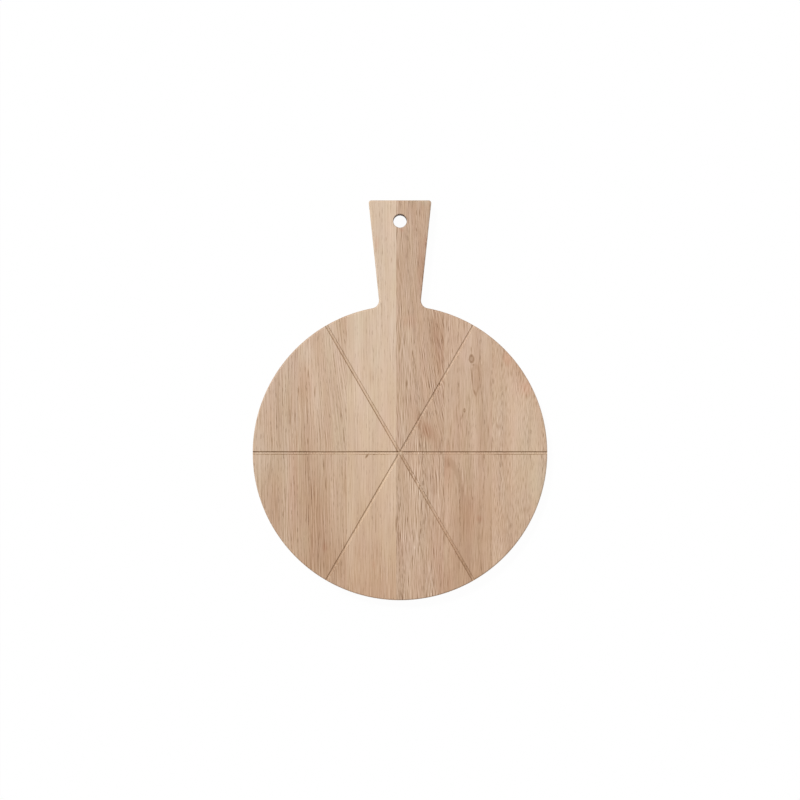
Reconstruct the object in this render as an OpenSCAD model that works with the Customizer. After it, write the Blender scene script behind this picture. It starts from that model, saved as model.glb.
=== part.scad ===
// Round tapas board with a flared handle, glued up edge to edge from six oak staves.
// It lies on its back, +Z up, with the handle along +Y and the staves along Y.
// The origin is on the underside, at the centre of the round part.

/* [Board] */
// Diameter of the round part
disc_d = 350; // [300:5:400]
// Length from the far edge of the round part to the end of the handle
board_l = 475; // [440:5:540]
// Thickness of the board
board_t = 16; // [12:0.5:24]
// Radius that eases the edges of both faces
edge_r = 2; // [0.5:0.25:2.5]

/* [Handle] */
// Width of the handle at its end
handle_end_w = 75; // [60:1:90]
// Width between the lines of the handle's sides where they pass the crown of the round part
handle_neck_w = 48.5; // [40:0.5:58]
// Radius of the two corners at the handle's end
handle_corner_r = 3; // [2.5:0.25:8]
// Radius of the two hollow corners where the handle leaves the round part
neck_r = 9.5; // [5:0.5:20]

/* [Hanging hole] */
// Diameter of the hole
hole_d = 16; // [8:0.5:26]
// Distance from the hole's centre to the end of the handle
hole_inset = 24.5; // [18:0.5:60]
// Radius that eases both rims of the hole
hole_ease = 0.75; // [0.5:0.25:2]

/* [Grooves] */
// Number of grooves that cross the round part, odd so that none runs up the handle
groove_count = 3; // [1:2:5]
// Width of a groove at the upper face
groove_w = 3.5; // [3:0.25:6]
// Depth of a groove's round bottom
groove_depth = 1.5; // [0.75:0.25:1.75]

/* [Staves] */
// Distance from the centre line to the middle glue joint, on the left of it
middle_joint_inset = 4.5; // [0:0.5:10]
// Width of the stave that makes the left of the handle
left_handle_stave_w = 58.5; // [50:0.5:65]
// Width of the next stave to the left
left_stave_w = 58; // [50:0.5:65]
// Width of the stave that makes the right of the handle
right_handle_stave_w = 57; // [55:0.5:65]
// Width of the next stave to the right
right_stave_w = 57; // [50:0.5:65]

/* [Hidden] */
$fn = 128;

// Length by which a cut or a stave's planes run past the wood
overrun = 1;
// Share of a plan corner's radius by which its arc passes the sides, so that the surfaces cross
crossing_share = 0.004;

disc_r = disc_d / 2;
// Distance from the centre of the round part to the end of the handle
reach = board_l - disc_r;

// The handle's right side, seen in axes turned by its lean: u is square to the side, v runs along it
lean = atan2((handle_end_w - handle_neck_w) / 2, reach - disc_r);
side_u = handle_end_w / 2 * cos(lean) - reach * sin(lean);

// Centre of the right hollow corner, outside both the side and the round part
neck_gap = neck_r * (1 - crossing_share);
neck_u = side_u + neck_gap;
neck_v = sqrt(pow(disc_r + neck_gap, 2) - pow(neck_u, 2));
neck_x = neck_u * cos(lean) + neck_v * sin(lean);
neck_y = neck_v * cos(lean) - neck_u * sin(lean);

// Centre of the right corner at the handle's end, inside both the side and the end
corner_gap = handle_corner_r * (1 - crossing_share);
corner_y = reach - corner_gap;
corner_x = (side_u - corner_gap + corner_y * sin(lean)) / cos(lean);

hole_y = reach - hole_inset;

// Radius of the arc through both edges and the bottom of a groove
groove_r = (pow(groove_w / 2, 2) + pow(groove_depth, 2)) / (2 * groove_depth);

// Planes of the five glue joints
left_handle_joint_x = -middle_joint_inset - left_handle_stave_w;
left_joint_x = left_handle_joint_x - left_stave_w;
right_handle_joint_x = right_handle_stave_w - middle_joint_inset;
right_joint_x = right_handle_joint_x + right_stave_w;
rim_x = disc_r + overrun;

brown_oak = [0.77, 0.66, 0.56];
streaked_oak = [0.77, 0.65, 0.55];
pale_oak = [0.81, 0.71, 0.61];
coarse_oak = [0.76, 0.64, 0.55];
knotty_oak = [0.76, 0.64, 0.54];
golden_oak = [0.79, 0.68, 0.57];

// Repeats what is drawn at a section's lower face at its upper face
module at_both_faces() {
    children();
    translate([0, board_t]) mirror([0, 1]) children();
}

// Repeats the right of the board on the left
module on_both_sides() {
    children();
    mirror([1, 0, 0]) children();
}

// What a quarter round takes from a square edge at the origin
module edge_scrap(ease) {
    difference() {
        square(ease);
        translate([ease, ease]) circle(ease);
    }
}

// Section through wood w wide whose +X side has eased edges
module eased_wood(w, ease) {
    difference() {
        square([w, board_t]);
        translate([w, 0]) mirror([1, 0]) at_both_faces() edge_scrap(ease);
    }
}

// Section through waste w wide that flares on its +X side, and so leaves eased edges on the wood there
module flared_waste(w, ease) {
    square([w, board_t]);
    translate([w, 0]) at_both_faces() edge_scrap(ease);
}

// Runs a section along Y
module run_along_y(length) {
    translate([0, length, 0]) rotate([90, 0, 0]) linear_extrude(length) children();
}

// Round part, with its eased rim
module disc() {
    rotate_extrude() eased_wood(disc_r, edge_r);
}

// Wood inside the line of the handle's right side
module handle_side() {
    rotate([0, 0, -lean])
        translate([side_u - 2 * handle_end_w, 0, 0])
            run_along_y(board_l) eased_wood(2 * handle_end_w, edge_r);
}

// Wood inside the line of the handle's end
module handle_end() {
    translate([handle_end_w, 0, 0])
        rotate([0, 0, 90]) run_along_y(2 * handle_end_w) eased_wood(reach, edge_r);
}

// Waste outside the arc of the right corner at the handle's end
module handle_corner_waste() {
    translate([corner_x, corner_y, 0])
        rotate([0, 0, -lean])
            rotate_extrude(angle = 90 + lean)
                translate([2 * handle_corner_r, 0]) mirror([1, 0])
                    flared_waste(handle_corner_r, edge_r);
}

// Handle, from the centre of the round part to its end
module handle() {
    difference() {
        intersection() {
            handle_side();
            mirror([1, 0, 0]) handle_side();
            handle_end();
        }
        on_both_sides() handle_corner_waste();
    }
}

// Wood that fills the two hollow corners, a kite with its side tips at their centres
module neck() {
    difference() {
        linear_extrude(board_t)
            polygon([[0, 0], [neck_x, neck_y], [0, neck_y + neck_x * tan(lean)], [-neck_x, neck_y]]);
        on_both_sides()
            translate([neck_x, neck_y, 0]) rotate_extrude() flared_waste(neck_r, edge_r);
    }
}

// Outline of the whole board with its eased edges, before the hole and the grooves
module blank() {
    disc();
    handle();
    neck();
}

// Waste of the hanging hole
module hanging_hole() {
    translate([0, hole_y, 0]) rotate_extrude() flared_waste(hole_d / 2, hole_ease);
}

// Waste of the grooves, which cross at the centre and run out through the rim
module grooves() {
    for (i = [0 : groove_count - 1])
        rotate([0, 0, i * 180 / groove_count])
            translate([0, 0, board_t + groove_r - groove_depth])
                rotate([0, 90, 0])
                    cylinder(r = groove_r, h = disc_d + 2 * overrun, center = true);
}

// Board between two glue joints, or between a joint and the rim
module stave(from_x, to_x) {
    difference() {
        intersection() {
            blank();
            translate([from_x, -disc_r - overrun, -overrun])
                cube([to_x - from_x, board_l + 2 * overrun, board_t + 2 * overrun]);
        }
        grooves();
        hanging_hole();
    }
}

module outer_left_stave() {
    color(brown_oak) stave(-rim_x, left_joint_x);
}

module left_stave() {
    color(streaked_oak) stave(left_joint_x, left_handle_joint_x);
}

module left_handle_stave() {
    color(pale_oak) stave(left_handle_joint_x, -middle_joint_inset);
}

module right_handle_stave() {
    color(coarse_oak) stave(-middle_joint_inset, right_handle_joint_x);
}

module right_stave() {
    color(knotty_oak) stave(right_handle_joint_x, right_joint_x);
}

module outer_right_stave() {
    color(golden_oak) stave(right_joint_x, rim_x);
}

outer_left_stave();
left_stave();
left_handle_stave();
right_handle_stave();
right_stave();
outer_right_stave();
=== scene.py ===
"""Round oak tapas board: finer staves and oak over the CAD frame, with a camera, lights and a floor."""
import math
from dataclasses import dataclass

import bmesh
import bpy
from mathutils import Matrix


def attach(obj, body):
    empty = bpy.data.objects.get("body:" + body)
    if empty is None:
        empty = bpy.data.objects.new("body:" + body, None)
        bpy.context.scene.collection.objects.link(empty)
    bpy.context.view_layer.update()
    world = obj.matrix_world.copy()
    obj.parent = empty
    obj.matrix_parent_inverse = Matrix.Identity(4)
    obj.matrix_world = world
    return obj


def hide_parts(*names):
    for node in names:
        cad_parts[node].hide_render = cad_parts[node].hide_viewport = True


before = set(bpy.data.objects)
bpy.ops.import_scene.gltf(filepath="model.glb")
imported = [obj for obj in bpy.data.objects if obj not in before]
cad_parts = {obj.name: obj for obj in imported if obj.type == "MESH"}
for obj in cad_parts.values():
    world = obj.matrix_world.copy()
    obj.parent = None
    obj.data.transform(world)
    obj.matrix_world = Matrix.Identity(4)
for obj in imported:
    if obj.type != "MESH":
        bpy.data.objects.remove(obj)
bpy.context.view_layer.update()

MM = 0.001

# Sizes of the solids, in metres
DISC_R = 175 * MM
REACH = 300 * MM
BOARD_T = 16 * MM
EDGE_R = 2 * MM
END_W = 75 * MM
NECK_W = 48.5 * MM
CORNER_R = 3 * MM
NECK_R = 9.5 * MM
HOLE_R = 8 * MM
HOLE_Y = 275.5 * MM
HOLE_EASE = 0.75 * MM
GROOVE_W = 3.5 * MM
GROOVE_DEPTH = 1.5 * MM
GROOVE_ANGLES = (0, 60, 120)

# Radius that sanding leaves on the arrises of the grooves
LIP_R = 0.25 * MM
# Length by which a cutter runs past the face or rim that it cuts
CLEAR = 1 * MM
# Height at which a cutter's eased side starts, so that it crosses the face at a slant
START = 0.04 * MM

# Straight edges in a full turn of the round part and of the hole, and in each arc of the rest
DISC_STEPS = 360
HOLE_STEPS = 96
NECK_STEPS = 16
CORNER_STEPS = 10
EASE_STEPS = 7
LIP_STEPS = 4
GROOVE_STEPS = 16

# Distance in metres within which a vertex counts as on a saw's plane
ON_PLANE = 1e-7
# Edges that turn by more than this stay sharp
SHARP = math.radians(32)
# How much more large faces count in the shading normals than small ones, where 50 is neutral
FACE_WEIGHT = 80


# Meshes

def finished(bm, name):
    """A linked object with this mesh, its faces turned outward."""
    bmesh.ops.recalc_face_normals(bm, faces=bm.faces)
    mesh = bpy.data.meshes.new(name)
    bm.to_mesh(mesh)
    bm.free()
    obj = bpy.data.objects.new(name, mesh)
    bpy.context.scene.collection.objects.link(obj)
    return obj


def skinned(sections, name):
    """A closed object whose skin runs through these rings of points, from the first to the last."""
    bm = bmesh.new()
    rings = [[bm.verts.new(point) for point in section] for section in sections]
    for low, high in zip(rings, rings[1:]):
        for i in range(len(low)):
            bm.faces.new((low[i - 1], low[i], high[i], high[i - 1]))
    bm.faces.new(reversed(rings[0]))
    bm.faces.new(rings[-1])
    return finished(bm, name)


def arc(centre, radius, start, end, steps, hollow=False):
    """Points of an arc with the wood's outward direction at each, as (x, y, out_x, out_y)."""
    side = -1 if hollow else 1
    for i in range(steps + 1):
        a = start + (end - start) * i / steps
        c, s = math.cos(a), math.sin(a)
        yield centre[0] + radius * c, centre[1] + radius * s, side * c, side * s


def outline():
    """The board's outline, counter-clockwise from the bottom of the round part."""
    lean = math.atan2((END_W - NECK_W) / 2, REACH - DISC_R)
    cos, sin = math.cos(lean), math.sin(lean)
    side_u = END_W / 2 * cos - REACH * sin
    neck_u = side_u + NECK_R
    neck_v = math.sqrt((DISC_R + NECK_R) ** 2 - neck_u ** 2)
    neck = (neck_u * cos + neck_v * sin, neck_v * cos - neck_u * sin)
    neck_angle = math.atan2(neck[1], neck[0])
    corner_y = REACH - CORNER_R
    corner = ((side_u - CORNER_R + corner_y * sin) / cos, corner_y)
    disc_steps = round(DISC_STEPS * (neck_angle + math.pi / 2) / math.tau)
    right = [
        *arc((0, 0), DISC_R, -math.pi / 2, neck_angle, disc_steps),
        *list(arc(neck, NECK_R, neck_angle + math.pi, math.pi - lean, NECK_STEPS, True))[1:],
        *arc(corner, CORNER_R, -lean, math.pi / 2, CORNER_STEPS),
    ]
    left = [(-x, y, -out_x, out_y) for x, y, out_x, out_y in reversed(right[1:])]
    return right + left


def ease(radius, steps):
    """(inset, height) of a quarter round, from the face to the wall."""
    for i in range(steps + 1):
        a = math.pi / 2 * i / steps
        yield radius * (1 - math.sin(a)), radius * (1 - math.cos(a))


def blank_mesh():
    """The whole board with its eased edges, before the hole and the grooves."""
    section = list(ease(EDGE_R, EASE_STEPS))
    section += [(inset, BOARD_T - z) for inset, z in reversed(section)]
    rings = [
        [(x - out_x * inset, y - out_y * inset, z) for x, y, out_x, out_y in outline()]
        for inset, z in section
    ]
    return skinned(rings, "blank")


def hole_cutter():
    """The hanging hole's waste, flared where both of its rims are eased."""
    rounds = list(ease(HOLE_EASE, EASE_STEPS))
    slant = (rounds[1][1] - rounds[0][1]) / (rounds[0][0] - rounds[1][0])
    mouth_r = HOLE_R + HOLE_EASE + START / slant
    low = [(mouth_r, -CLEAR), (mouth_r, -START)] + [(HOLE_R + inset, z) for inset, z in rounds[1:]]
    profile = low + [(r, BOARD_T - z) for r, z in reversed(low)]
    turns = [math.tau * i / HOLE_STEPS for i in range(HOLE_STEPS)]
    rings = [[(r * math.cos(a), HOLE_Y + r * math.sin(a), z) for a in turns] for r, z in profile]
    return skinned(rings, "hole_cutter")


def groove_section():
    """(across, height) of the right half of a groove's waste, from the top down to its bottom."""
    groove_r = ((GROOVE_W / 2) ** 2 + GROOVE_DEPTH ** 2) / (2 * GROOVE_DEPTH)
    axis_z = BOARD_T + groove_r - GROOVE_DEPTH
    lip_z = BOARD_T - LIP_R
    lip_x = math.sqrt((groove_r + LIP_R) ** 2 - (axis_z - lip_z) ** 2)
    turn = math.atan2(lip_x, axis_z - lip_z)
    lip = []
    for i in range(LIP_STEPS + 1):
        a = math.pi / 2 + turn * i / LIP_STEPS
        lip.append((lip_x + LIP_R * math.cos(a), lip_z + LIP_R * math.sin(a)))
    slant = (lip[0][1] - lip[1][1]) / (lip[0][0] - lip[1][0])
    start_x = lip_x + START / slant
    half = [(start_x, BOARD_T + CLEAR), (start_x, BOARD_T + START)] + lip[1:]
    for i in range(1, GROOVE_STEPS // 2 + 1):
        a = turn * (1 - 2 * i / GROOVE_STEPS)
        half.append((groove_r * math.sin(a), axis_z - groove_r * math.cos(a)))
    return half


def groove_cutter(angle):
    """The waste of the groove that runs at this angle, with softened arrises."""
    half = groove_section()
    section = half + [(-x, z) for x, z in reversed(half[:-1])]
    c, s = math.cos(angle), math.sin(angle)
    far_end = DISC_R + CLEAR
    ends = [
        [(along * c - x * s, along * s + x * c, z) for x, z in section]
        for along in (-far_end, far_end)
    ]
    return skinned(ends, "groove_cutter")


def cut(obj, cutter):
    """Takes the cutter's space from the object, and removes the cutter."""
    modifier = obj.modifiers.new("cut", "BOOLEAN")
    modifier.operation = "DIFFERENCE"
    modifier.solver = "EXACT"
    modifier.object = cutter
    bpy.context.view_layer.update()
    shape = obj.evaluated_get(bpy.context.evaluated_depsgraph_get())
    mesh = bpy.data.meshes.new_from_object(shape)
    obj.modifiers.clear()
    old = obj.data
    obj.data = mesh
    bpy.data.meshes.remove(old)
    bpy.data.objects.remove(cutter)


def whole_board():
    """One mesh of the whole board with its hole and grooves."""
    board = blank_mesh()
    cut(board, hole_cutter())
    for angle in GROOVE_ANGLES:
        cut(board, groove_cutter(math.radians(angle)))
    return board


def sawn(board, name, left, right):
    """The part of the board between glue joints at these x in mm, or up to the rim where one is None."""
    bm = bmesh.new()
    bm.from_mesh(board.data)
    for x, keep in ((left, 1), (right, -1)):
        if x is None:
            continue
        whole = bm.verts[:] + bm.edges[:] + bm.faces[:]
        found = bmesh.ops.bisect_plane(
            bm, geom=whole, dist=ON_PLANE, clear_inner=True,
            plane_co=(x * MM, 0, 0), plane_no=(keep, 0, 0))
        rim = [e for e in found["geom_cut"] if isinstance(e, bmesh.types.BMEdge)]
        bmesh.ops.edgeloop_fill(bm, edges=rim)
    stave = finished(bm, name)
    for polygon in stave.data.polygons:
        polygon.use_smooth = True
    stave.data.set_sharp_from_angle(angle=SHARP)
    weighted = stave.modifiers.new("flat_faces", "WEIGHTED_NORMAL")
    weighted.keep_sharp = True
    weighted.mode = "FACE_AREA"
    weighted.weight = FACE_WEIGHT
    return stave


# Oak

# What a unit of each stain does to oak, as powers of light absorbed in red, green and blue
BROWN = (0.635, 0.81, 1.02)
RED = (0.10, 0.42, 0.50)
YELLOW = (0.0, 0.0, 1.0)

# Cells of the noises in the wood, in mm across a stave, along it and through it. Those of the rays are
# about the pith, along the stave and outward from the pith
SLOW_CELL = (60, 130, 60)
QUICK_CELL = (9, 16, 9)
STRAY_CELL = (5, 5, 5)
BROKEN_CELL = (1.3, 30, 1.3)
BROAD_CELL = (10, 190, 10)
PATCHY_CELL = (16, 60, 16)
THREAD_CELL = (0.7, 110, 0.7)
PORE_CELL = (0.55, 11, 0.55)
RAY_CELL = (1.2, 13, 9)
BLUSH_CELL = (18, 90, 18)
TINT_CELL = (14, 45, 14)
BAND_CELL = (6, 60, 20)
LOOP_CELL = (2, 3, 6)
TORN_CELL = (8, 30, 30)

# Limits below are pairs: where a feature starts, and where it is full

# Growth rings: their width in mm, and how far they stray, in rings
RING_W = 3.2
RING_STRAY = 0.8
# Early wood: the shares of a ring over which it thins out, those over which the next ring's starts,
# its mean strength, and how much that varies
EARLY_ENDS = (0.4, 0.08)
EARLY_STARTS = (0.92, 1.0)
EARLY_MEAN = 0.6
EARLY_SWING = 1.2

# Fibres: their width, and the distance from a dark one to the paler wood beside it, in mm
FIBRE_W = 0.8
FIBRE_GAP = 1.25
# How sharply a fibre stands out, how much its strength varies in patches, and the least it comes to
FIBRE_CONTRAST = 1.6
PATCHY_SWING = 1.6
PATCHY_LEAST = 0.3
# How strongly the fibres show on the long sides, and how squarely such a side faces across
SIDE_FIBRES = 0.45
SIDE_ON = (0.5, 0.95)

# Pores: distance from one's middle in cells, random values from faint to full, how strong a faint
# one is, and how strong all are in late wood
PORE_EDGE = (0.36, 0.18)
PORE_VALUES = (0.1, 0.6)
PORE_FAINT = 0.2
PORE_LATE = 0.25

# Rays: mm that a radian about the pith counts as, distance from one's middle in cells, and random
# values of the dark and of the pale kind
RADIAN_W = 70
RAY_EDGE = (0.34, 0.14)
DASH_VALUES = (0.35, 0.6)
TICK_VALUES = (0.3, 0.15)

# Stain of uneven yellow
TINT = 0.06

# Zones: height of their middle in the board and how far they reach from it, in mm, and how much
# a fibre strengthens them where it crosses
ZONE_Z = 12
ZONE_DEPTH = 26
ZONE_FIBRES = 0.8

# Marks: the same height and reach, half their width in mm, and the share of them at full strength
MARK_Z = 15
MARK_DEPTH = 4
MARK_HALF_W = 0.8
MARK_CORE = 0.2

# Loops: the same height and reach, roughness of the outline as a share of its width, least share
# of a tapered one's width, and limits of its red as shares of its size
LOOP_Z = 12
LOOP_DEPTH = 50
LOOP_ROUGH = 0.8
TAPER_LEAST = 0.2
LOOP_RED = (1.6, 0.6)
# A loop with an outline at least this thick is a knot, and the grain bends round it
KNOT_THICK = 0.3
# That bend's reach in half widths and half heights of the knot, its middle's height and its depth
BEND_W = 6
BEND_L = 5
BEND_Z = 10
BEND_DEPTH = 60

# End grain: how squarely a face looks along the stave, and the brown that it takes
END_ON = (0.15, 0.95)
END_STAIN = 0.4

# Brown along each groove: (its angle, on the bank to its left, on the other bank, in its bed). The left
# bank's brown is partly torn grain and partly painted shade, as that bank faces away from the key light,
# and the bed's is painted light
GROOVE_STAINS_AND_SHADE = ((0, 1.3, 0.0, -0.14), (60, 0.1, -0.05, -0.14), (120, 0.45, 0.27, 0.05))
# Distances in mm from the groove's centre line. Those named for a side are counted to its left
TORN_STARTS = (1.0, 1.4)
TORN_ENDS = (2.3, 1.9)
LEFT_SIDE = (-0.1, 0.1)
BED_EDGE = (1.3, 0.9)
# Depths in mm below the face at which all of these stains and painted light and shade end, and at which
# the bed starts
STAIN_AND_SHADE_ENDS = (1.7, 1.3)
BED_STARTS = (0.9, 1.3)
# How much the tearing varies, and how much less it is, as a share, for each metre further right
TORN_SWING = 1.3
TORN_DRIFT = 2.8
# Painted light: the bank that faces the key light is painted a little less red than light from the other
# bank makes it
LIT_EDGE = (2.4, 1.8)
LIT_SIDE = (0.4, -0.4)
PAINTED_LIGHT_RED = -0.09
# Painted shade: the bank away from the key light is painted a little more yellow
SHADY_EDGE = (2.2, 1.6)
SHADY_SIDE = (-0.2, 0.4)
PAINTED_SHADE_YELLOW = 0.035
# Stretches of a groove that are torn more or less than the rest, in mm from the board's centre:
# (the groove's angle, the stretch's middle, its half length, more brown on the left bank, on the other)
TEARS = (
    (0, -140, 42, -0.55, 0.35),
    (0, -82, 34, -0.85, 0.0),
    (0, -32, 26, 0.0, 0.35),
    (0, 60, 60, -0.65, 0.0),
    (0, 142, 42, 0.0, 0.75),
    (60, -70, 44, 0.2, 0.0),
    (60, 140, 44, -0.3, 0.0),
    (120, 80, 54, 0.35, 0.05),
    (120, -90, 64, -0.15, -0.1),
)

# Brown in the hanging hole, partly oil in its end grain and partly painted shade on its wall, and the
# distances from its axis over which it fades, in metres
HOLE_STAIN_AND_SHADE = 1.4
HOLE_EDGE = (HOLE_R + 0.4 * MM, HOLE_R + 0.1 * MM)

# Relief of each feature, in mm
PORE_RELIEF = -0.12
RING_RELIEF = -0.035
THREAD_RELIEF = 0.02
TICK_RELIEF = 0.02
# Roughness of oiled oak, what a pore and a fibre add to it, and the oil's refractive index and gloss
ROUGHNESS = 0.58
PORE_ROUGHNESS = 0.2
FIBRE_ROUGHNESS = 0.08
OIL_IOR = 1.45
OIL_GLOSS = 0.35


def linear(srgb):
    """A colour given as 0 to 255 sRGB, as linear light."""
    parts = [v / 255 for v in srgb]
    return [v / 12.92 if v <= 0.04045 else ((v + 0.055) / 1.055) ** 2.4 for v in parts]


class Graph:
    """Shader nodes of a material or the world. Its calls take sockets or plain numbers."""

    def __init__(self, owner):
        owner.use_nodes = True
        self.tree = owner.node_tree
        self.tree.nodes.clear()

    def node(self, kind, inputs=(), **settings):
        made = self.tree.nodes.new(kind)
        for key, value in settings.items():
            setattr(made, key, value)
        for key, value in dict(inputs).items():
            if isinstance(value, bpy.types.NodeSocket):
                self.tree.links.new(value, made.inputs[key])
            else:
                made.inputs[key].default_value = value
        return made

    def math(self, operation, a, b=0.0, c=0.0):
        return self.node("ShaderNodeMath", {0: a, 1: b, 2: c}, operation=operation).outputs[0]

    def chained(self, operation, parts):
        total = parts[0]
        for part in parts[1:]:
            total = self.math(operation, total, part)
        return total

    def add(self, *parts):
        return self.chained("ADD", parts)

    def times(self, *parts):
        return self.chained("MULTIPLY", parts)

    def scaled(self, a, scale, offset):
        return self.math("MULTIPLY_ADD", a, scale, offset)

    def vector(self, operation, a, b=(0, 0, 0)):
        return self.node("ShaderNodeVectorMath", {0: a, 1: b}, operation=operation).outputs[0]

    def length(self, a):
        return self.node("ShaderNodeVectorMath", {0: a}, operation="LENGTH").outputs["Value"]

    def split(self, a):
        return self.node("ShaderNodeSeparateXYZ", {0: a}).outputs

    def join(self, x, y, z):
        return self.node("ShaderNodeCombineXYZ", {0: x, 1: y, 2: z}).outputs[0]

    def stretched(self, at, cell, shift, tilt=0.0):
        """Coordinates in which a cell of this size in mm is one unit. The tilt is in degrees."""
        rotation = (0, 0, math.radians(tilt))
        turned = self.node("ShaderNodeMapping", {"Vector": at, "Rotation": rotation}).outputs[0]
        scale = [1 / (MM * c) for c in cell]
        placed = self.node("ShaderNodeMapping", {"Vector": turned, "Scale": scale, "Location": shift})
        return placed.outputs[0]

    def noise(self, at, cell, shift=(0, 0, 0), tilt=0.0, detail=1.0, roughness=0.5):
        """Smooth noise about 0, mostly within 0.5 either way, with cells of this size in mm."""
        made = self.node("ShaderNodeTexNoise", {
            "Vector": self.stretched(at, cell, shift, tilt),
            "Scale": 1.0,
            "Detail": detail,
            "Roughness": roughness,
        })
        return self.scaled(made.outputs["Fac"], 2.0, -1.0)

    def cells(self, at, cell, shift):
        """(distance to the nearest of scattered points, a random value of that point), one to a cell."""
        placed = self.stretched(at, cell, shift)
        made = self.node("ShaderNodeTexVoronoi", {"Vector": placed, "Scale": 1.0})
        value = self.node("ShaderNodeSeparateColor", {0: made.outputs["Color"]}).outputs[0]
        return made.outputs["Distance"], value

    def step(self, value, limits, low=0.0, high=1.0):
        """Runs smoothly from low to high as the value runs from the first limit to the second."""
        start, end = limits
        made = self.node(
            "ShaderNodeMapRange",
            {"Value": value, "From Min": start, "From Max": end, "To Min": low, "To Max": high},
            interpolation_type="SMOOTHSTEP")
        return made.outputs["Result"]

    def fade(self, value, limits, low=0.0, high=1.0):
        """The same with limits in mm."""
        return self.step(value, [MM * v for v in limits], low, high)

    def far(self, at, place, half, tilt=0.0):
        """Distance from an ellipsoid's middle, 1 at its surface. Sizes in mm, tilt in degrees."""
        made = self.node("ShaderNodeMapping", {
            "Vector": at,
            "Location": [MM * v for v in place],
            "Rotation": (0, 0, math.radians(tilt)),
            "Scale": [MM * v for v in half],
        }, vector_type="TEXTURE")
        return self.length(made.outputs[0])

    def spot(self, at, place, half, tilt=0.0, core=0.0):
        """1 in an ellipsoid's core, which is a share of it, falling smoothly to 0 at its surface."""
        return self.step(self.far(at, place, half, tilt), (1.0, core))


@dataclass
class Loop:
    """A knot, or the crown of a growth ring. Sizes in mm, stains in units of brown or red."""

    x: float
    y: float
    half_w: float
    half_h: float
    # Width of its dark outline, as a share of its size
    thick: float
    brown: float
    # Stains inside the outline
    heart: float = 0.0
    red: float = 0.0
    # How much wider it is at its top than at its middle, as a share
    taper: float = 0.0
    # Height on the face below which its outline is missing
    foot: float | None = None


@dataclass
class Stave:
    """One stave's wood. Places and lengths in mm on the grooved face, stains in units of brown."""

    node: str
    slot: str
    # Glue joints on its left and right, with None at the rim
    left: float | None
    right: float | None
    # Clean wood's sRGB colour
    colour: tuple
    # Where the tree's centre lies, across and up
    pith: tuple
    seed: int
    # Stain of growth rings
    rings: float = 0.2
    # How the grain leaves the stave's own direction: by a steady slope, and slowly and quickly in mm
    lean: float = 0.0
    wave: float = 2.4
    wiggle: float = 0.4
    # Further slope above a height: (x where it starts, x where it is full, height, slope)
    fan: tuple = ()
    # Brown, red and yellow that grow from the handle towards the far rim, per metre
    drift: tuple = (0.0, 0.0, 0.0)
    # Stain of broad streaks, stain of fibres and their length
    streaks: float = 0.16
    fibres: float = 0.5
    fibre_l: float = 30
    # How pale the wood beside a fibre is, as a share of the fibre
    comb: float = 0.7
    # Stain of long straight lines, of pores, and of slanted bands and their lean in degrees
    lines: float = 0.25
    pores: float = 0.9
    bands: float = 0.0
    bands_lean: float = 0.0
    # Stain of rays that are cut across, and paleness of rays that lie in the face
    dashes: float = 0.0
    ticks: float = 0.0
    # Uneven red, in units of red
    blush: float = 0.2
    bored: bool = False
    # Zones are (x, y, half width, half height, tilt, brown, red)
    zones: tuple = ()
    # Marks are thin dark dashes: (x, y, half height, tilt, brown)
    marks: tuple = ()
    loops: tuple = ()


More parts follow.
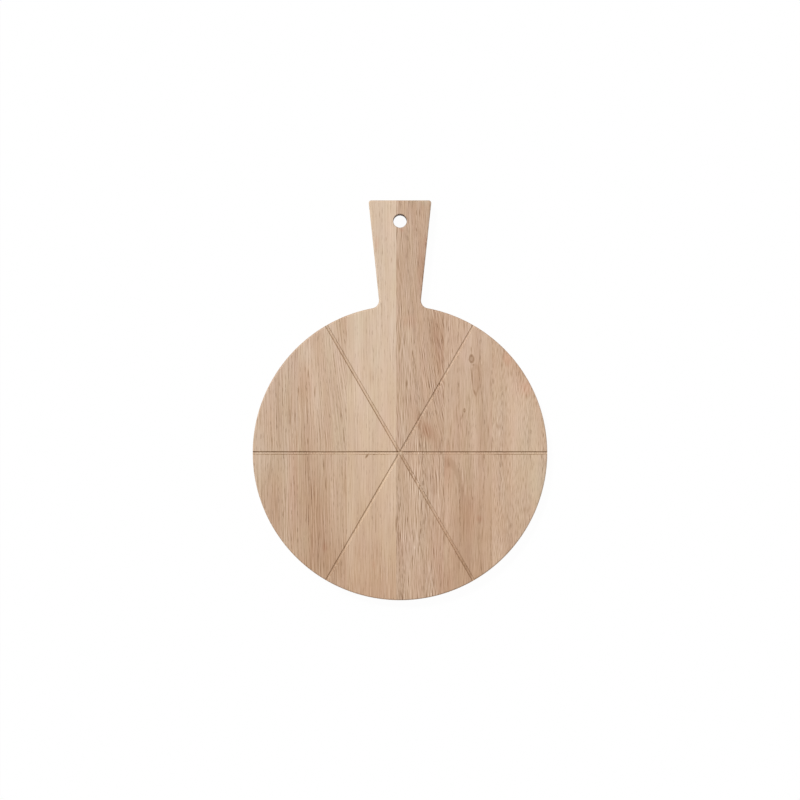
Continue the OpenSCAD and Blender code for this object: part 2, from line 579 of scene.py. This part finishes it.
class Oak(Graph):
    """One stave's oiled oak as a solid texture, so that faces, edges and end grain agree."""

    def __init__(self, stave):
        self.material = bpy.data.materials.new(stave.slot)
        super().__init__(self.material)
        self.stave = stave
        # Amounts of each stain, which the features add to, painted light and shade in the grooves and
        # the hole among them
        self.brown, self.red, self.yellow = [], [], []
        texture = self.node("ShaderNodeTexCoord")
        self.place = texture.outputs["Object"]
        self.x, self.y, self.z = self.split(self.place)
        across, along = self.split(texture.outputs["Normal"])[:2]
        self.side_on = self.math("ABSOLUTE", across)
        self.end_on = self.math("ABSOLUTE", along)
        self.lay_grain()
        self.grow_rings()
        self.draw_fibres()
        self.open_pores()
        self.spread_tones()
        self.cut_rays()
        self.stain_zones()
        self.draw_marks()
        for loop in stave.loops:
            self.draw_loop(loop)
        self.darken_ends()
        self.tear_and_shade_grooves()
        if stave.bored:
            self.darken_hole()
        self.make_surface()

    def lay_grain(self):
        """Coordinates along the grain, which leans, wanders along the stave and bends round knots."""
        stave = self.stave
        slow = self.noise(self.place, SLOW_CELL, (stave.seed, 0, 0))
        quick = self.noise(self.place, QUICK_CELL, (0, stave.seed, 0), detail=2.0)
        near_x = self.scaled(quick, stave.wiggle * MM, self.x)
        self.near = self.join(near_x, self.y, self.z)
        sway = self.times(slow, stave.wave * MM)
        if stave.lean:
            sway = self.scaled(self.y, stave.lean, sway)
        if stave.fan:
            start_x, full_x, fan_y, fan_lean = stave.fan
            rise = self.math("MAXIMUM", self.add(self.y, -fan_y * MM), 0.0)
            sway = self.add(sway, self.times(self.fade(self.x, (start_x, full_x)), rise, fan_lean))
        for loop in stave.loops:
            if loop.thick >= KNOT_THICK:
                sway = self.add(sway, self.bend(loop))
        self.grain_x = self.add(near_x, sway)
        self.grain_z = self.scaled(slow, stave.wave * MM, self.z)
        self.grain = self.join(self.grain_x, self.y, self.z)

    def bend(self, knot):
        """How far aside the grain moves to pass a knot."""
        reach = (knot.half_w * BEND_W, knot.half_h * BEND_L, BEND_DEPTH)
        around = self.spot(self.place, (knot.x, knot.y, BEND_Z), reach)
        width = 2 * knot.half_w
        aside = self.scaled(self.x, 1 / (width * MM), -knot.x / width)
        return self.times(around, self.math("TANH", aside), -knot.half_w * MM)

    def grow_rings(self):
        """Growth rings about the pith, whose porous early wood is uneven along the grain."""
        seed = self.stave.seed
        pith_x, pith_z = self.stave.pith
        across = self.add(self.grain_x, -pith_x * MM)
        under = self.add(self.grain_z, -pith_z * MM)
        self.radius = self.length(self.join(across, under, 0.0))
        self.angle = self.math("ARCTAN2", under, across)
        stray = self.noise(self.join(self.radius, 0.0, 0.0), STRAY_CELL, (0, seed, 0))
        count = self.add(self.times(self.radius, 1 / (RING_W * MM)), self.times(stray, RING_STRAY))
        phase = self.math("FRACT", count)
        self.early = self.math("MAXIMUM", self.step(phase, EARLY_ENDS), self.step(phase, EARLY_STARTS))
        broken = self.noise(self.grain, BROKEN_CELL, (0, 0, seed))
        self.rings = self.times(self.early, self.scaled(broken, EARLY_SWING, EARLY_MEAN))
        self.brown.append(self.times(self.rings, self.stave.rings))

    def draw_fibres(self):
        """Broad streaks of tone, fine fibres with paler wood beside each, and long straight lines."""
        stave, seed = self.stave, self.stave.seed
        broad = self.noise(self.grain, BROAD_CELL, (seed, seed, 0), detail=0.0)
        patchy = self.noise(self.grain, PATCHY_CELL, (seed, 0, seed))
        gain = self.math("MAXIMUM", self.scaled(patchy, PATCHY_SWING, 1.0), PATCHY_LEAST)
        cell = (FIBRE_W, stave.fibre_l, FIBRE_W)
        fibre = self.noise(self.grain, cell, (seed, 0, seed), detail=0.0)
        beside = self.noise(self.grain, cell, (seed + FIBRE_GAP / FIBRE_W, 0, seed), detail=0.0)
        self.fine = self.scaled(beside, -stave.comb, fibre)
        surge = self.add(self.math("EXPONENT", self.times(self.fine, FIBRE_CONTRAST)), -1.0)
        surge = self.times(surge, gain, self.step(self.side_on, SIDE_ON, 1.0, SIDE_FIBRES))
        self.thread = self.noise(self.grain, THREAD_CELL, detail=0.0)
        self.brown.append(self.times(broad, stave.streaks))
        self.brown.append(self.times(surge, stave.fibres))
        self.brown.append(self.times(self.thread, stave.lines))

    def open_pores(self):
        """Open pores, dense where each ring begins."""
        to_pore, value = self.cells(self.grain, PORE_CELL, (0, self.stave.seed, 0))
        pore = self.times(self.step(to_pore, PORE_EDGE), self.step(value, PORE_VALUES, PORE_FAINT))
        self.pore = self.times(pore, self.scaled(self.early, 1 - PORE_LATE, PORE_LATE))
        self.brown.append(self.times(self.pore, self.stave.pores))

    def spread_tones(self):
        """Stains that change slowly over the stave, and slanted bands."""
        stave, seed = self.stave, self.stave.seed
        self.red.append(self.times(self.noise(self.grain, BLUSH_CELL, (seed, 0, 0)), stave.blush))
        self.yellow.append(self.times(self.noise(self.grain, TINT_CELL, (0, 0, seed)), TINT))
        for stain, drift in zip((self.brown, self.red, self.yellow), stave.drift):
            stain.append(self.times(self.y, -drift))
        if stave.bands:
            band = self.noise(self.near, BAND_CELL, (seed, 0, 0), tilt=-stave.bands_lean)
            self.brown.append(self.times(band, stave.bands))

    def cut_rays(self):
        """Thin plates that stand on the pith, cut by the face as dark dashes or pale ticks."""
        turned = self.join(self.times(self.angle, RADIAN_W * MM), self.y, self.radius)
        to_ray, value = self.cells(turned, RAY_CELL, (self.stave.seed, 0, 0))
        ray = self.step(to_ray, RAY_EDGE)
        dash = self.times(ray, self.step(value, DASH_VALUES))
        self.tick = self.times(ray, self.step(value, TICK_VALUES))
        self.brown.append(self.times(dash, self.stave.dashes))
        self.brown.append(self.times(self.tick, -self.stave.ticks))

    def stain_zones(self):
        """Patches that are darker, paler or redder, more so where a dark fibre crosses them."""
        for x, y, half_w, half_h, tilt, brown, red in self.stave.zones:
            zone = self.spot(self.near, (x, y, ZONE_Z), (half_w, half_h, ZONE_DEPTH), tilt)
            zone = self.times(zone, self.scaled(self.fine, ZONE_FIBRES, 1.0))
            for stain, amount in ((self.brown, brown), (self.red, red)):
                if amount:
                    stain.append(self.times(zone, amount))

    def draw_marks(self):
        """Single fibres that stand out."""
        for x, y, half_h, tilt, brown in self.stave.marks:
            size = (MARK_HALF_W, half_h, MARK_DEPTH)
            mark = self.spot(self.near, (x, y, MARK_Z), size, tilt, MARK_CORE)
            self.brown.append(self.times(mark, brown))

    def draw_loop(self, loop):
        """The dark outline of a knot or a crown, with a rough edge, and the stains inside it."""
        rough = self.noise(self.place, LOOP_CELL, detail=2.0)
        inside = self.place
        if loop.taper:
            above = loop.taper / loop.half_h
            wider = self.scaled(self.y, above / MM, 1 - above * loop.y)
            wider = self.math("MAXIMUM", wider, TAPER_LEAST)
            aside = self.math("DIVIDE", self.add(self.x, -loop.x * MM), wider)
            inside = self.join(self.add(aside, loop.x * MM), self.y, self.z)
        off = self.far(inside, (loop.x, loop.y, LOOP_Z), (loop.half_w, loop.half_h, LOOP_DEPTH))
        off = self.add(off, self.times(rough, loop.thick * LOOP_ROUGH))
        core, inner, outer = 1 - 2 * loop.thick, 1 - loop.thick, 1 + loop.thick
        edge = self.times(self.step(off, (core, inner)), self.step(off, (outer, 1.0)))
        if loop.foot is not None:
            edge = self.times(edge, self.fade(self.y, (loop.foot, loop.foot + loop.half_h / 2)))
        self.brown.append(self.times(edge, loop.brown))
        if loop.heart:
            self.brown.append(self.times(self.step(off, (1.0, core)), loop.heart))
        if loop.red:
            self.red.append(self.times(self.step(off, LOOP_RED), loop.red))

    def darken_ends(self):
        """End grain drinks more oil."""
        self.brown.append(self.times(self.step(self.end_on, END_ON), END_STAIN))

    def tear_and_shade_grooves(self):
        """A groove's banks are torn and dark where the cutter crossed the grain, more so on the left,
        the bank away from the key light, where part of that brown is painted shade. Painted light also
        makes the lit bank less red, the shaded bank more yellow and the bed paler or darker.
        """
        ragged = self.noise(self.place, TORN_CELL, (0, self.stave.seed, 0), detail=3.0, roughness=0.6)
        tearing = self.times(self.scaled(ragged, TORN_SWING, 1.0), self.scaled(self.x, -TORN_DRIFT, 1.0))
        sunk = self.math("SUBTRACT", BOARD_T, self.z)
        high = self.fade(sunk, STAIN_AND_SHADE_ENDS)
        deep = self.times(self.fade(sunk, BED_STARTS), high)
        for angle, left, right, bed in GROOVE_STAINS_AND_SHADE:
            c, s = math.cos(math.radians(angle)), math.sin(math.radians(angle))
            aside = self.add(self.times(self.y, c), self.times(self.x, -s))
            along = self.add(self.times(self.x, c), self.times(self.y, s))
            off = self.math("ABSOLUTE", aside)
            for groove, middle, half_l, more_left, more_right in TEARS:
                if groove != angle:
                    continue
                away = self.math("ABSOLUTE", self.add(along, -middle * MM))
                here = self.fade(away, (half_l, half_l / 2))
                left = self.scaled(here, more_left, left)
                right = self.scaled(here, more_right, right)
            # The left bank's extra brown is partly torn grain and partly painted shade, as that bank
            # faces away from the key light
            bank = self.times(self.fade(off, TORN_STARTS), self.fade(off, TORN_ENDS))
            side = self.fade(aside, LEFT_SIDE, right, left)
            self.brown.append(self.times(bank, high, side, tearing))
            # Painted light and shade in the bed: below zero it paints the bed paler to lift the shade in
            # the groove, above zero a little darker
            self.brown.append(self.times(deep, self.fade(off, BED_EDGE), bed))
            # Painted light: the bank that faces the key light is painted less red
            lit = self.times(high, self.fade(off, LIT_EDGE), self.fade(aside, LIT_SIDE))
            self.red.append(self.times(lit, PAINTED_LIGHT_RED))
            # Painted shade: the bank away from the key light is painted more yellow
            shady = self.times(high, self.fade(off, SHADY_EDGE), self.fade(aside, SHADY_SIDE))
            self.yellow.append(self.times(shady, PAINTED_SHADE_YELLOW))

    def darken_hole(self):
        """The wall of the hanging hole is end grain in part and takes more oil all round, and is painted
        darker still as painted shade in the hole.
        """
        from_axis = self.length(self.join(self.x, self.add(self.y, -HOLE_Y), 0.0))
        # Painted shade on the hole's wall, on top of the oil in its end grain
        self.brown.append(self.step(from_axis, HOLE_EDGE, 0.0, HOLE_STAIN_AND_SHADE))

    def make_surface(self):
        """Clean wood's colour less what its stains, painted light and painted shade absorb, with its
        relief and gloss.
        """
        stain = (0, 0, 0)
        for absorbed, parts in ((BROWN, self.brown), (RED, self.red), (YELLOW, self.yellow)):
            amount = self.add(*parts)
            share = self.vector("MULTIPLY", absorbed, self.join(amount, amount, amount))
            stain = self.vector("ADD", stain, share)
        kept = [self.math("EXPONENT", self.times(part, -1.0)) for part in self.split(stain)]
        colour = self.vector("MULTIPLY", linear(self.stave.colour), self.join(*kept))
        height = self.add(
            self.times(self.pore, PORE_RELIEF),
            self.times(self.rings, RING_RELIEF),
            self.times(self.thread, THREAD_RELIEF),
            self.times(self.tick, TICK_RELIEF),
        )
        bump = self.node("ShaderNodeBump", {"Height": height, "Distance": MM, "Strength": 1.0})
        roughness = self.scaled(self.pore, PORE_ROUGHNESS, ROUGHNESS)
        roughness = self.scaled(self.fine, FIBRE_ROUGHNESS, roughness)
        shader = self.node("ShaderNodeBsdfPrincipled", {
            "Base Color": colour,
            "Roughness": roughness,
            "Normal": bump.outputs[0],
            "IOR": OIL_IOR,
            "Specular IOR Level": OIL_GLOSS,
        })
        self.node("ShaderNodeOutputMaterial", {"Surface": shader.outputs[0]})


STAVES = [
    Stave(
        "outer_left_stave", "outer_left_oak", None, -121, (199, 171, 146), (-240, -45), 1,
        fibres=0.19, fibre_l=28, lines=0.34, lean=0.01, drift=(0.25, 0, 0.15),
        zones=(
            (-141, 58, 18, 75, 0, 0.03, 0),
            (-129, 58, 10, 44, 0, 0.13, 0.14),
            (-150, -15, 14, 30, 0, 0.05, -0.14),
            (-150, -68, 18, 70, 0, 0.14, 0.18),
            (-130, -45, 7, 55, 0, -0.08, 0),
            (-166, 5, 18, 70, 0, -0.14, -0.1),
            (-126, -50, 12, 140, 0, 0.02, 0.24),
        ),
        marks=((-146.9, -63, 19, 0, 0.5), (-154.6, -25, 22, 0, 0.5), (-138.6, -73, 7, 0, 0.7)),
    ),
    Stave(
        "left_stave", "left_oak", -121, -63, (201, 172, 146), (-225, -30), 2,
        fibres=0.175, fibre_l=30, lines=0.3, lean=0.02, fan=(-108, -72, 0, 0.11),
        drift=(0.7, 0.35, 0.12),
        zones=(
            (-113, 80, 14, 42, 0, 0.12, 0.16),
            (-111, 118, 14, 20, 0, 0, -0.1),
            (-113, 15, 12, 65, 0, 0.13, 0.05),
            (-107, -32, 26, 60, 7, 0.12, 0.15),
            (-100, -76, 34, 60, 9, 0.17, 0.16),
            (-88, -132, 38, 62, 16, 0.24, 0.18),
            (-89, -112, 6, 9, 0, 0.08, 0.25),
            (-104, 92, 10, 100, 7, -0.1, 0),
            (-92, 88, 12, 70, 6, -0.1, 0.04),
            (-84, 50, 6, 80, 8, 0.05, 0),
            (-74, 75, 6, 90, 6, 0.1, 0),
            (-69, 150, 12, 44, 0, 0.17, 0.03),
            (-73, 20, 14, 90, 0, 0, -0.1),
            (-112, -104, 9, 34, 0, -0.07, -0.2),
            (-69, -150, 9, 22, 0, -0.15, 0.06),
        ),
        marks=(
            (-120.4, 74, 8, 0, 0.8), (-109, 94, 8, 0, 0.9), (-101, 73, 9.5, 0, 0.9),
            (-109.5, 14, 6, 0, 0.9), (-109.5, -7, 6, 0, 0.9), (-95.8, 32, 21, 3, 0.7),
            (-70.4, 45, 14, 7, 0.8), (-66.4, 20, 12, 7, 0.8), (-91, -13, 11, 2, 0.9),
            (-88.4, -37, 10, 4, 0.9), (-95.8, -98, 9.5, 0, 0.8), (-97.4, -125, 17, 0, 0.9),
            (-90.3, -133, 6.5, 0, 0.8), (-65.4, -37, 25, 0, 0.5),
        ),
    ),
    Stave(
        "left_handle_stave", "left_handle_oak", -63, -4.5, (210, 183, 157), (130, -60), 3,
        rings=0.08, fibres=0.12, fibre_l=26, comb=0.25, lines=0.18, pores=0.35, streaks=0.1,
        blush=0.15, drift=(0.2, 0.4, 0.12), bored=True,
        zones=(
            (-13, -45, 13, 120, 0, -0.09, 0),
            (-48, 145, 20, 50, 0, 0.05, -0.16),
            (-30, -165, 50, 34, 0, 0.02, 0.07),
            (-34, -40, 44, 80, 0, 0.01, -0.06),
            (-53, 10, 12, 90, 0, 0.07, 0),
            (-12, 270, 12, 30, 0, -0.08, 0.08),
            (-32, 111, 14, 24, 0, 0, -0.1),
            (-56, -150, 10, 30, 0, 0.12, 0.05),
            (-50, -60, 14, 90, 0, 0.05, 0),
            (-27.6, 249, 4, 14, 0, 0, 0.3),
            (-31, -133, 4, 10, 0, 0, 0.2),
            (-34, -190, 80, 190, 0, 0.2, 0.15),
            (-34, -30, 60, 80, 0, 0.03, 0.1),
            (-22, 90, 44, 130, 0, -0.05, 0.06),
            (-39.2, -3.6, 1.8, 5, -40, 1.2, 0),
            (-31, -2, 1.6, 1.2, 0, 0.9, 0),
        ),
        marks=(
            (-24.3, 283, 6, 0, 0.4), (-16.4, 254, 4.2, 0, 0.4), (-21, 240, 6.5, 0, 0.4),
            (-10.2, 229, 5, 0, 0.5), (-29, -84, 15, 0, 0.4), (-5.4, -85, 14, 0, 0.6),
        ),
    ),
    Stave(
        "right_handle_stave", "right_handle_oak", -4.5, 52.5, (198, 168, 143), (10, -50), 4,
        rings=0.14, fibres=0.35, fibre_l=18, comb=0.7, dashes=0.25, ticks=0.12,
        bands=0.09, bands_lean=16, streaks=0.08, lean=0.03, fan=(-2, 44, 20, 0.17), wave=3, wiggle=0.8,
        drift=(-0.1, 0, 0), bored=True,
        zones=(
            (14, 300, 14, 7, 0, 0.13, -0.26),
            (29, 300, 9, 9, 0, -0.1, -0.34),
            (30.4, 250, 4, 14, 0, 0.06, 0.35),
            (27, 215, 10, 50, 0, 0.18, 0.2),
            (9, 240, 10, 24, 0, 0.1, 0.04),
            (1.8, 264.5, 5, 4, 0, 0, 0.4),
            (11, 156, 12, 14, 0, 0, 0.25),
            (41, 152, 16, 30, 6, 0.18, 0.12),
            (48, 122, 17, 46, 10, 0.25, 0.2),
            (40, 75, 26, 60, 14, 0.1, 0.08),
            (31, 27, 13, 21, 20, 0.2, 0.4),
            (22, 42, 9, 14, 0, 0.14, 0.1),
            (22, 105, 7, 90, 16, -0.12, 0),
            (8, 110, 6, 80, 12, -0.08, 0),
            (24, -20, 14, 28, 10, -0.12, 0.1),
            (24, -66, 12, 26, 0, 0.04, 0),
            (43, -63, 12, 26, 0, -0.1, 0),
            (5, 23, 10, 40, 0, 0, -0.13),
            (17, -118, 17, 50, 0, 0, -0.1),
            (50, -155, 16, 40, 0, 0.1, 0.1),
            (0, -172, 24, 16, 0, 0.15, 0),
            (45, -115, 22, 110, 0, 0, 0.15),
            (45, 20, 16, 34, 0, 0.14, 0.1),
        ),
        marks=(
            (19.6, 285, 5, 0, 0.8), (23.5, 285, 7, 0, 0.9), (19.6, 265, 3.6, 0, 0.9),
            (10.2, 167, 6, 2, 0.9), (5.2, 134, 11, 3, 0.8), (-0.7, 125, 9.5, 3, 0.8),
            (14.7, 118, 7, 5, 0.8), (12.2, 91, 8, 4, 0.8), (8.9, 83, 5.4, 4, 0.8),
            (32.3, 46, 8, 0, 0.9), (22.7, 31, 7, 0, 0.9), (27.3, -23, 5.3, 0, 1.0),
            (36, -29, 15, 2, 0.8), (43.5, -40, 15, 2, 0.8), (8.9, -79, 5.3, -3, 1.0),
            (14.6, -94, 5.3, -4, 1.0), (24.5, -93, 5.3, -4, 1.0), (23.3, -108, 4.2, -4, 1.0),
            (15, -125, 6.5, -5, 1.0), (17.6, -112, 3.5, -4, -0.5), (-3.8, -85, 14, 0, 0.6),
            (51.6, 160, 6, 0, 0.6), (51.6, 71, 8, 0, 0.6),
        ),
    ),
    Stave(
        "right_stave", "right_oak", 52.5, 109.5, (197, 166, 140), (84, -40), 5,
        rings=0.12, fibres=0.215, fibre_l=18, comb=0.25, lines=0.18, drift=(0.6, 0.25, 0.12),
        wiggle=0.6,
        zones=(
            (94, 88, 16, 38, 0, 0.08, 0.06),
            (97.5, 36, 6, 70, 0, 0.15, 0),
            (102, 22, 9, 36, 0, 0.09, 0),
            (87.5, 26, 8, 60, 0, -0.2, 0),
            (74, 25, 8, 50, 0, 0.05, 0),
            (77, 113, 5, 16, 0, -0.06, 0.06),
            (76, 90, 20, 60, 0, 0.03, -0.07),
            (82, -68, 28, 52, 5, 0.12, 0.15),
            (82, 42, 16, 60, 0, 0.02, -0.06),
            (94, -78, 6, 7, 0, 0.2, 0.3),
            (55, -14, 9, 40, 0, 0.06, 0.2),
            (62, -58, 13, 60, 0, -0.05, -0.08),
            (62, -95, 16, 80, 0, 0, 0.1),
            (101, -85, 16, 120, 0, -0.09, 0.04),
            (85, -125, 26, 60, 0, 0.11, 0),
            (57, -152, 9, 28, 0, 0.1, 0.15),
            (85.5, 91, 1.5, 17, 6, 0.55, 0),
            (88.6, 71.5, 1.6, 6, 20, 0.6, 0.1),
            (92.6, 76, 1.6, 8, -14, 0.3, 0),
            (86.8, 104.6, 3, 1.4, 0, 0.5, 0),
            (73.6, 43, 1.2, 7, -20, 0.6, 0),
            (72.4, 31, 1.2, 10, 3, 0.6, 0),
        ),
        marks=(
            (84.6, 123, 5, 0, 0.6), (96.8, 107, 4, 0, -0.35), (62.2, 121, 4.2, 0, 0.6),
            (61.5, 73, 9.5, 0, 0.6), (82.9, -26, 15, 0, 0.6), (104.7, -20, 9, 0, 0.6),
            (86, -54, 3.5, 0, 0.8), (75.8, -92, 24, 0, 0.5), (97.7, -97, 16, -4, 0.6),
        ),
        loops=(
            Loop(84.8, 111.7, 2.8, 4.9, 0.3, 0.68, heart=0.3),
            Loop(90, 86, 4.6, 18.5, 0.16, 0.16, heart=0.02, red=0.04, taper=0.5),
            Loop(76.5, 50.6, 1.2, 2.2, 0.4, 0.6, heart=0.2),
            Loop(56.8, -58, 17.5, 50, 0.12, 0.22, foot=-65),
        ),
    ),
    Stave(
        "outer_right_stave", "outer_right_oak", 109.5, None, (201, 171, 145), (140, -55), 6,
        rings=0.08, fibres=0.24, fibre_l=9, comb=0.3, lines=0.14, streaks=0.17, blush=0.25,
        lean=-0.02, wiggle=1,
        zones=(
            (118, 95, 14, 40, 0, -0.04, 0.1),
            (166, -35, 20, 50, 0, 0, -0.3),
            (120, -90, 12, 50, 0, 0, 0.08),
            (141, 96, 16, 16, 0, 0.18, 0),
            (120, 20, 12, 50, 0, 0, 0.05),
            (146, 5, 20, 60, 0, 0.06, -0.14),
            (165, 60, 10, 30, 0, -0.1, 0.1),
            (138, 108, 16, 18, 0, 0.06, 0.14),
            (146, 82, 26, 30, 0, -0.02, 0.12),
            (127, 112, 8, 13, 10, 0, 0.45),
            (150, 77, 12, 13, 20, 0, 0.4),
            (126, 50, 30, 90, 0, -0.08, 0),
            (135, -90, 34, 60, 0, 0.1, -0.04),
            (162, 10, 22, 80, 0, -0.12, -0.06),
        ),
    ),
]


def make_staves():
    """Saws the board into its staves, each in place of its CAD node."""
    board = whole_board()
    for stave in STAVES:
        piece = sawn(board, stave.slot + "_stave", stave.left, stave.right)
        piece.data.materials.clear()
        piece.data.materials.append(Oak(stave).material)
        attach(piece, "root")
        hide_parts(stave.node)
    bpy.data.objects.remove(board)


# Studio

# Sensor's width and focal length in mm, and the camera's place in metres
SENSOR_W = 36
LENS = 72.04
CAMERA_AT = (0, 0.06285, 1.916)

# The key light's strength, and in degrees its spread, its turn from +X and its height
KEY_ENERGY = 2.0
KEY_SPREAD = 10
KEY_TURN = 126
KEY_HEIGHT = 48
# Strength of the white sky on the board
SKY_LIGHT = 0.53

# The floor's half width and height in metres, its white, and how far it shows as pure white
FLOOR_HALF = 6.0
FLOOR_Z = -0.0002
FLOOR_WHITE = 0.98
FLOOR_GLOW = 0.97


def make_camera():
    """Straight above the board, looking down, as in the photograph."""
    data = bpy.data.cameras.new("camera")
    data.sensor_width = SENSOR_W
    data.lens = LENS
    camera = bpy.data.objects.new("camera", data)
    bpy.context.scene.collection.objects.link(camera)
    camera.location = CAMERA_AT
    bpy.context.scene.camera = camera


def seen(g):
    """1 for rays that show a surface to the camera, directly or in a gloss or glass."""
    path = g.node("ShaderNodeLightPath").outputs
    reflected = g.math("MAXIMUM", path["Is Glossy Ray"], path["Is Transmission Ray"])
    return g.math("MAXIMUM", path["Is Camera Ray"], reflected)


def make_lights():
    """A soft key light from the upper left, over an even white sky."""
    data = bpy.data.lights.new("key", "SUN")
    data.energy = KEY_ENERGY
    data.angle = math.radians(KEY_SPREAD)
    key = bpy.data.objects.new("key", data)
    bpy.context.scene.collection.objects.link(key)
    turn, height = math.radians(KEY_TURN), math.radians(KEY_HEIGHT)
    level = math.cos(height)
    key.location = (math.cos(turn) * level, math.sin(turn) * level, math.sin(height))
    key.rotation_euler = (-key.location).to_track_quat("-Z", "Y").to_euler()
    world = bpy.data.worlds.new("world")
    bpy.context.scene.world = world
    g = Graph(world)
    strength = g.scaled(seen(g), 1 - SKY_LIGHT, SKY_LIGHT)
    sky = g.node("ShaderNodeBackground", {"Color": (1, 1, 1, 1), "Strength": strength})
    g.node("ShaderNodeOutputWorld", {"Surface": sky.outputs[0]})


def make_floor():
    """White floor that takes a faint shadow."""
    bm = bmesh.new()
    corners = ((-1, -1), (1, -1), (1, 1), (-1, 1))
    bm.faces.new([bm.verts.new((FLOOR_HALF * x, FLOOR_HALF * y, FLOOR_Z)) for x, y in corners])
    floor = finished(bm, "floor")
    material = bpy.data.materials.new("floor")
    g = Graph(material)
    white = (FLOOR_WHITE, FLOOR_WHITE, FLOOR_WHITE, 1)
    matte = g.node("ShaderNodeBsdfDiffuse", {"Color": white})
    glow = g.node("ShaderNodeEmission", {"Color": (1, 1, 1, 1), "Strength": 1.0})
    shown = g.times(seen(g), FLOOR_GLOW)
    mix = g.node("ShaderNodeMixShader", {0: shown, 1: matte.outputs[0], 2: glow.outputs[0]})
    g.node("ShaderNodeOutputMaterial", {"Surface": mix.outputs[0]})
    floor.data.materials.append(material)


make_staves()
make_camera()
make_lights()
make_floor()
bpy.context.scene.view_settings.view_transform = "Standard"
